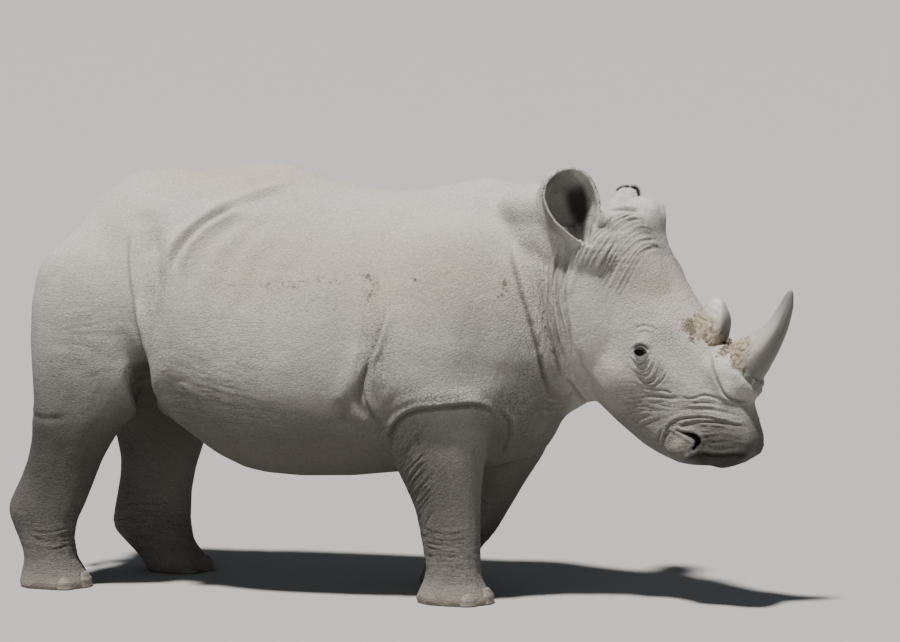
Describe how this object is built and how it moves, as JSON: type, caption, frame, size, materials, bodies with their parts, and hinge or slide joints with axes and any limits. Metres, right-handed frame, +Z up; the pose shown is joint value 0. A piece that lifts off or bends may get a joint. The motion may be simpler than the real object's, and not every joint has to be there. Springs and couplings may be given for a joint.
{
  "type": "rhinoceros",
  "caption": "Life-size still model of a white rhinoceros, head low in a slow step, with a slim front horn, a stubby rear horn, cupped ears, folded hide and broad nailed feet.",
  "frame": {"origin": "on the floor, under the middle of the animal's box", "axes": "+X forward, towards the horn; +Y to the animal's left; +Z up"},
  "size_m": [3.1402, 0.9138, 1.6956],
  "materials": {
    "skin": "dry grey hide dusted with pale mud, finely cracked and wrinkled",
    "horn": "fibrous pale grey-brown keratin, rough at the base and worn smooth at the tip",
    "nail": "worn dusty keratin",
    "eye": "wet dark brown",
    "hair": "stiff dark bristle"
  },
  "bodies": {
    "root": {"trunk": "skin", "neck": "skin", "head": "skin", "tail": "skin", "leg_front_right": "skin", "leg_front_left": "skin", "leg_hind_right": "skin", "leg_hind_left": "skin", "ear_right": "skin", "ear_left": "skin", "eye_right": "eye", "eye_left": "eye", "horn_front": "horn", "horn_rear": "horn", "nail_front_right_1": "nail", "nail_front_right_2": "nail", "nail_front_right_3": "nail", "nail_front_left_1": "nail", "nail_front_left_2": "nail", "nail_front_left_3": "nail", "nail_hind_right_1": "nail", "nail_hind_right_2": "nail", "nail_hind_right_3": "nail", "nail_hind_left_1": "nail", "nail_hind_left_2": "nail", "nail_hind_left_3": "nail"}
  },
  "joints": []
}
